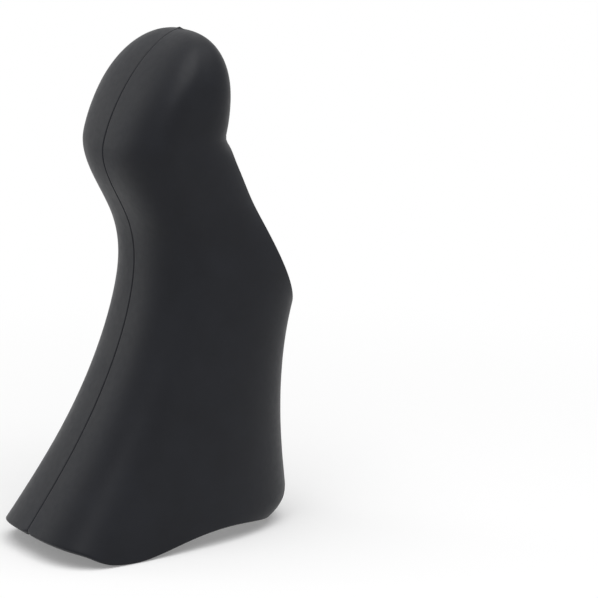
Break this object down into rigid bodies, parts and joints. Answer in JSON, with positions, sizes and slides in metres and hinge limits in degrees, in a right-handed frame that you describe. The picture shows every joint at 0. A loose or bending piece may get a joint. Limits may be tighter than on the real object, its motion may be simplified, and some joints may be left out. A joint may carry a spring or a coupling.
{
  "type": "brake lever hood",
  "caption": "Moulded rubber cover for a road brake lever's body, with a rounded horn, a slanted front opening for the lever and an arched, open rear end.",
  "frame": {"origin": "centre of the bounding box at the height of the two side lobes of the rear rim", "axes": "+Z from the rear rim up to the horn's crown, +X towards the finger side and the front opening, -X the palm side, and the halves mirror in the XZ plane"},
  "size_m": [0.0624, 0.0368, 0.109],
  "materials": {
    "black_rubber": "matte moulded"
  },
  "bodies": {
    "root": {"hood_cover": "black_rubber"}
  },
  "joints": []
}
